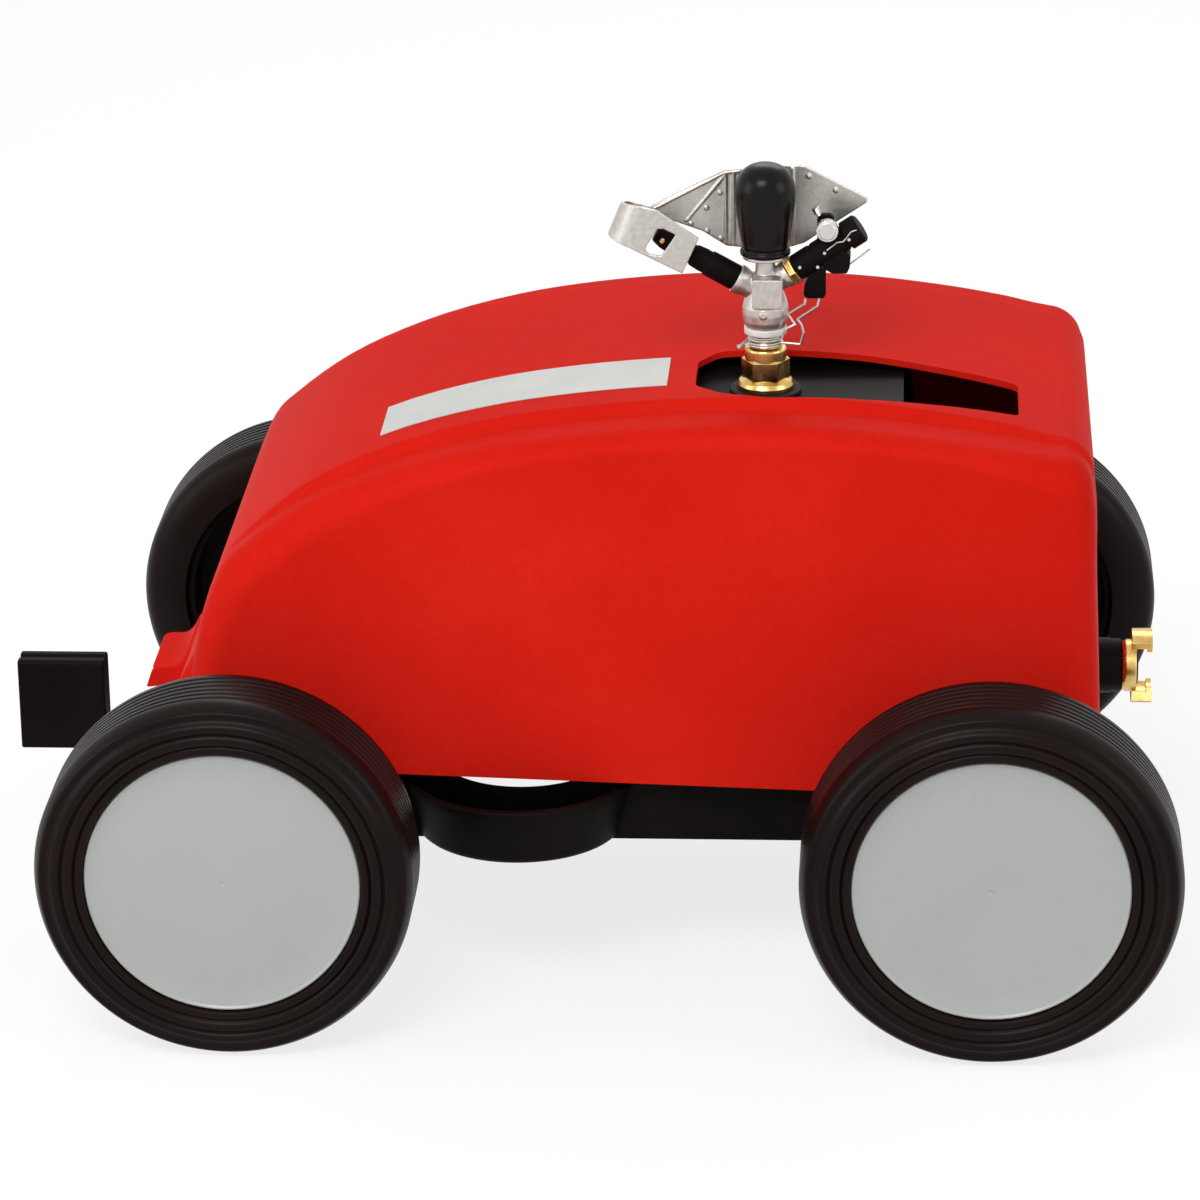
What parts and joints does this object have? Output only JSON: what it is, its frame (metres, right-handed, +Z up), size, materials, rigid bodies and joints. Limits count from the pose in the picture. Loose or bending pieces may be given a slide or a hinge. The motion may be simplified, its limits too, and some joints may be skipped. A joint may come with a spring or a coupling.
{
  "type": "sprinkler cart",
  "caption": "Self-travelling lawn sprinkler cart with an arched tilting hood, ribbed wheels, a rope winch and an impact sprinkler on top.",
  "frame": {"origin": "on the ground, below the middle of the overall length and width", "axes": "+X towards the hose coupling at the rear, -X towards the stop plate at the nose, +Z up"},
  "size_m": [0.9014, 0.67, 0.618],
  "materials": {
    "hood_red": "satin moulded plastic",
    "moulded_black": "moulded plastic",
    "tyre_black": "ribbed tyre",
    "cover_grey": "satin grey plastic",
    "label_white": "blank white strip",
    "brass": "machined",
    "cast_aluminium": "as cast",
    "plated_steel": "zinc plated",
    "white_plastic": "natural plastic",
    "seal_rubber": "soft rubber",
    "rope_fibre": "laid fibre",
    "gear_plastic": "natural plastic"
  },
  "bodies": {
    "cart": {"chassis": "moulded_black", "front_axle": "plated_steel", "rear_axle": "plated_steel", "hood_hinge_pin": "plated_steel", "drive_frame": "moulded_black", "riser_pipe": "plated_steel", "base_washer": "seal_rubber", "sprinkler_base": "brass", "thrust_ring": "white_plastic", "stop_spring": "plated_steel", "valve_body": "brass", "inlet_coupling": "brass", "inlet_seal": "seal_rubber", "inlet_collar": "moulded_black", "inlet_pipe": "plated_steel", "turbine_pipe": "moulded_black", "turbine_housing": "moulded_black", "turbine_cover": "moulded_black", "rope_guide": "white_plastic", "front_left_axle_cap": "plated_steel", "front_right_axle_cap": "plated_steel", "rear_left_axle_cap": "plated_steel", "rear_right_axle_cap": "plated_steel"},
    "hood": {"hood": "hood_red", "hood_label": "label_white"},
    "sprinkler_head": {"sprinkler_body": "cast_aluminium", "nozzle_tube": "moulded_black", "nozzle_tip": "brass", "spreader_nut": "brass", "spreader_tube": "moulded_black", "arm_pin": "plated_steel", "arm_spring": "plated_steel"},
    "drive_arm": {"drive_arm": "cast_aluminium", "dome_cap": "moulded_black"},
    "knob": {"spreader_knob": "plated_steel"},
    "trip_block": {"trip_block": "moulded_black"},
    "upper_trip_wire": {"trip_wire_upper": "plated_steel"},
    "lower_trip_wire": {"trip_wire_lower": "plated_steel"},
    "stop": {"stop_plate": "moulded_black", "stop_bar": "plated_steel", "valve_plunger": "plated_steel"},
    "rotor": {"turbine_rotor": "gear_plastic"},
    "idler": {"idler_gear": "gear_plastic"},
    "drum": {"rope_drum": "gear_plastic", "drum_gear": "gear_plastic", "drum_shaft": "plated_steel", "wound_rope": "rope_fibre"},
    "front_left_wheel": {"front_left_tyre": "tyre_black", "front_left_rim": "moulded_black", "front_left_cover": "cover_grey"},
    "front_right_wheel": {"front_right_tyre": "tyre_black", "front_right_rim": "moulded_black", "front_right_cover": "cover_grey"},
    "rear_left_wheel": {"rear_left_tyre": "tyre_black", "rear_left_rim": "moulded_black", "rear_left_cover": "cover_grey"},
    "rear_right_wheel": {"rear_right_tyre": "tyre_black", "rear_right_rim": "moulded_black", "rear_right_cover": "cover_grey"}
  },
  "joints": [
    {"name": "front_left_wheel_spin", "type": "hinge", "parent": "cart", "child": "front_left_wheel", "pos_m": [-0.25025, -0.29375, 0.14], "axis": [0, 1, 0], "continuous": true},
    {"name": "front_right_wheel_spin", "type": "hinge", "parent": "cart", "child": "front_right_wheel", "pos_m": [-0.25025, 0.29375, 0.14], "axis": [0, 1, 0], "continuous": true},
    {"name": "rear_left_wheel_spin", "type": "hinge", "parent": "cart", "child": "rear_left_wheel", "pos_m": [0.31075, -0.29375, 0.14], "axis": [0, 1, 0], "continuous": true},
    {"name": "rear_right_wheel_spin", "type": "hinge", "parent": "cart", "child": "rear_right_wheel", "pos_m": [0.31075, 0.29375, 0.14], "axis": [0, 1, 0], "continuous": true},
    {"name": "hood_tilt", "type": "hinge", "parent": "cart", "child": "hood", "pos_m": [-0.27475, 0, 0.205], "axis": [0, -1, 0], "range_deg": [0, 40]},
    {"name": "head_turn", "type": "hinge", "parent": "cart", "child": "sprinkler_head", "pos_m": [0.14075, -0.088, 0.5], "axis": [0, 0, 1], "continuous": true},
    {"name": "arm_swing", "type": "hinge", "parent": "sprinkler_head", "child": "drive_arm", "pos_m": [0.14075, -0.088, 0.545], "axis": [0, 0, 1], "range_deg": [0, 26], "stiffness_Nm_per_rad": 0.12},
    {"name": "knob_turn", "type": "hinge", "parent": "sprinkler_head", "child": "knob", "pos_m": [0.18695, -0.0985, 0.5705], "axis": [0, 1, 0], "continuous": true},
    {"name": "trip_block_rock", "type": "hinge", "parent": "sprinkler_head", "child": "trip_block", "pos_m": [0.14075, -0.088, 0.5219], "axis": [0.832, 0, 0.5548], "range_deg": [-12, 12]},
    {"name": "upper_trip_wire_turn", "type": "hinge", "parent": "cart", "child": "upper_trip_wire", "pos_m": [0.14075, -0.088, 0.4813], "axis": [0, 0, 1], "range_deg": [-5, 60]},
    {"name": "lower_trip_wire_turn", "type": "hinge", "parent": "cart", "child": "lower_trip_wire", "pos_m": [0.14075, -0.088, 0.4758], "axis": [0, 0, 1], "range_deg": [-60, 5]},
    {"name": "stop_slide", "type": "slide", "parent": "cart", "child": "stop", "axis": [1, 0, 0], "range_m": [0, 0.02], "stiffness_N_per_m": 900, "deforming": ["stop_spring"]},
    {"name": "drum_spin", "type": "hinge", "parent": "cart", "child": "drum", "pos_m": [-0.04975, 0, 0.245], "axis": [0, 1, 0], "continuous": true},
    {"name": "idler_spin", "type": "hinge", "parent": "cart", "child": "idler", "pos_m": [0.03125, 0.078, 0.245], "axis": [0, 1, 0], "continuous": true},
    {"name": "rotor_spin", "type": "hinge", "parent": "cart", "child": "rotor", "pos_m": [0.08745, 0, 0.245], "axis": [0, 1, 0], "continuous": true}
  ],
  "couplings": [
    {"joint": "idler_spin", "follows": "drum_spin", "ratio": -4},
    {"joint": "rotor_spin", "follows": "drum_spin", "ratio": 16}
  ]
}
